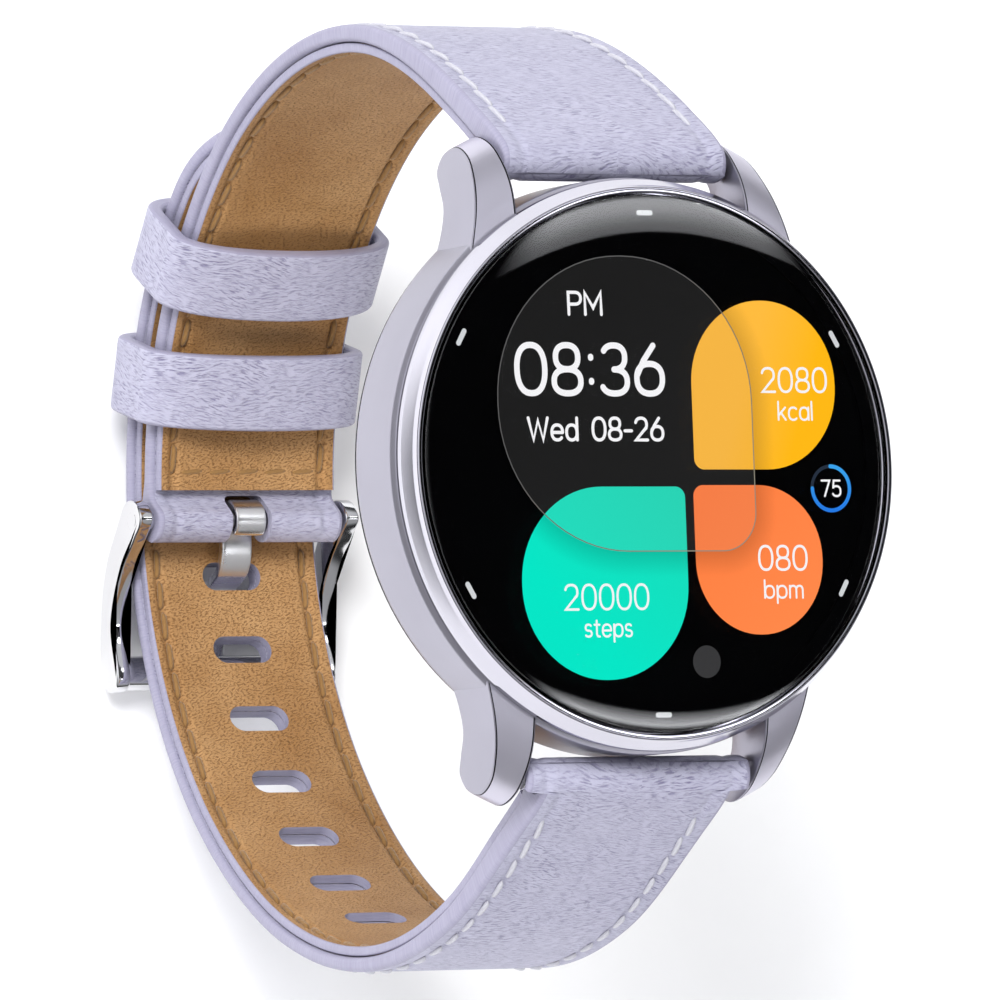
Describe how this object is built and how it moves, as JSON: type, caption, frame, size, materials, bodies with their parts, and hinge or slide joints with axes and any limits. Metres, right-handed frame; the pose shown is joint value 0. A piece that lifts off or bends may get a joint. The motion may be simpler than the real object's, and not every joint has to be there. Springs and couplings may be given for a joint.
{
  "type": "smartwatch",
  "caption": "Round smartwatch with a metal case and four hooked lugs on a two-piece leather strap, buckled into a loop with two keepers.",
  "frame": {"origin": "centre of the flat sensor window on the back of the case, where it meets the wrist", "axes": "+Z the way the dial faces, +Y to 12 o'clock, +X to 3 o'clock, the side button's side"},
  "size_m": [0.0474, 0.0776, 0.0756],
  "materials": {
    "case_metal": "satin lavender metal with a polished bezel",
    "cover_glass": "polished domed glass with a black border",
    "sensor_glass": "polished black",
    "display": "lit display",
    "strap_leather": "fine-grained lavender leather",
    "strap_lining": "tan lining leather",
    "polished_steel": "mirror polished steel",
    "brushed_steel": "brushed steel",
    "black_plastic": "matt black plastic",
    "rubber": "black seal rubber",
    "circuit_board": "green circuit board",
    "gold_contact": "gold plated contact",
    "amber_film": "amber flexible circuit film",
    "battery_foil": "foil battery pouch"
  },
  "bodies": {
    "case": {"mid_case": "case_metal", "bezel_ring": "case_metal", "glass_gasket": "rubber", "cover_glass": "cover_glass", "display_panel": "display", "back_cover": "black_plastic", "sensor_window": "sensor_glass", "sensor_board": "circuit_board", "charging_pin_left": "gold_contact", "charging_pin_right": "gold_contact", "back_gasket": "rubber", "back_screw_1": "brushed_steel", "back_screw_2": "brushed_steel", "back_screw_3": "brushed_steel", "back_screw_4": "brushed_steel", "inner_frame": "black_plastic", "main_board": "circuit_board", "shield_can": "brushed_steel", "display_flex": "amber_film", "battery": "battery_foil", "vibration_motor": "brushed_steel", "button_seal": "rubber", "button_switch": "black_plastic", "upper_spring_bar_tube": "brushed_steel", "lower_spring_bar_tube": "brushed_steel"},
    "side_button": {"button_cap": "case_metal", "button_clip": "brushed_steel"},
    "upper_tip_left": {"upper_spring_bar_tip_left": "brushed_steel"},
    "upper_tip_right": {"upper_spring_bar_tip_right": "brushed_steel"},
    "lower_tip_left": {"lower_spring_bar_tip_left": "brushed_steel"},
    "lower_tip_right": {"lower_spring_bar_tip_right": "brushed_steel"},
    "strap_upper": {"short_strap_leather_front": "strap_leather", "short_strap_lining_front": "strap_lining"},
    "strap_back": {"short_strap_leather_rear": "strap_leather", "short_strap_lining_rear": "strap_lining", "long_strap_leather_rear": "strap_leather", "long_strap_lining_rear": "strap_lining", "fixed_keeper": "strap_leather"},
    "strap_lower": {"long_strap_leather_front": "strap_leather", "long_strap_lining_front": "strap_lining"},
    "keeper": {"free_keeper": "strap_leather"},
    "buckle": {"buckle_frame": "polished_steel", "buckle_bar": "brushed_steel"},
    "tang": {"buckle_tang": "polished_steel"}
  },
  "joints": [
    {"name": "strap_flex", "type": "hinge", "parent": "case", "child": "strap_upper", "pos_m": [0, 0.0249, 0.0053], "axis": [1, 0, 0], "range_deg": [-8, 8], "stiffness_Nm_per_rad": 0.18},
    {"name": "strap_flex_upper_bend", "type": "hinge", "parent": "strap_upper", "child": "strap_back", "pos_m": [0, 0.03444, -0.03459], "axis": [1, 0, 0], "range_deg": [-5.5, 5.5]},
    {"name": "strap_flex_lower_bend", "type": "hinge", "parent": "strap_back", "child": "strap_lower", "pos_m": [0, -0.03752, -0.0293], "axis": [1, 0, 0], "range_deg": [-6.4, 6.4]},
    {"name": "keeper_slide", "type": "hinge", "parent": "strap_back", "child": "keeper", "pos_m": [0, 0.001, -0.0197], "axis": [1, 0, 0], "range_deg": [-5, 10]},
    {"name": "buckle_swing", "type": "hinge", "parent": "strap_back", "child": "buckle", "pos_m": [0, 0.00017, -0.05619], "axis": [1, 0, 0], "range_deg": [0, 1.8]},
    {"name": "tang_swing", "type": "hinge", "parent": "buckle", "child": "tang", "pos_m": [0, 0.00017, -0.05619], "axis": [1, 0, 0], "range_deg": [0, 1.8]},
    {"name": "button_press", "type": "slide", "parent": "case", "child": "side_button", "axis": [-1, 0, 0], "range_m": [0, 0.00035], "stiffness_N_per_m": 3000},
    {"name": "upper_left_tip_slide", "type": "slide", "parent": "case", "child": "upper_tip_left", "axis": [1, 0, 0], "range_m": [0, 0.0009], "stiffness_N_per_m": 800},
    {"name": "upper_right_tip_slide", "type": "slide", "parent": "case", "child": "upper_tip_right", "axis": [-1, 0, 0], "range_m": [0, 0.0009], "stiffness_N_per_m": 800},
    {"name": "lower_left_tip_slide", "type": "slide", "parent": "case", "child": "lower_tip_left", "axis": [1, 0, 0], "range_m": [0, 0.0009], "stiffness_N_per_m": 800},
    {"name": "lower_right_tip_slide", "type": "slide", "parent": "case", "child": "lower_tip_right", "axis": [-1, 0, 0], "range_m": [0, 0.0009], "stiffness_N_per_m": 800}
  ],
  "couplings": [
    {"joint": "strap_flex_upper_bend", "follows": "strap_flex", "ratio": -0.674},
    {"joint": "strap_flex_lower_bend", "follows": "strap_flex", "ratio": 0.7769}
  ]
}
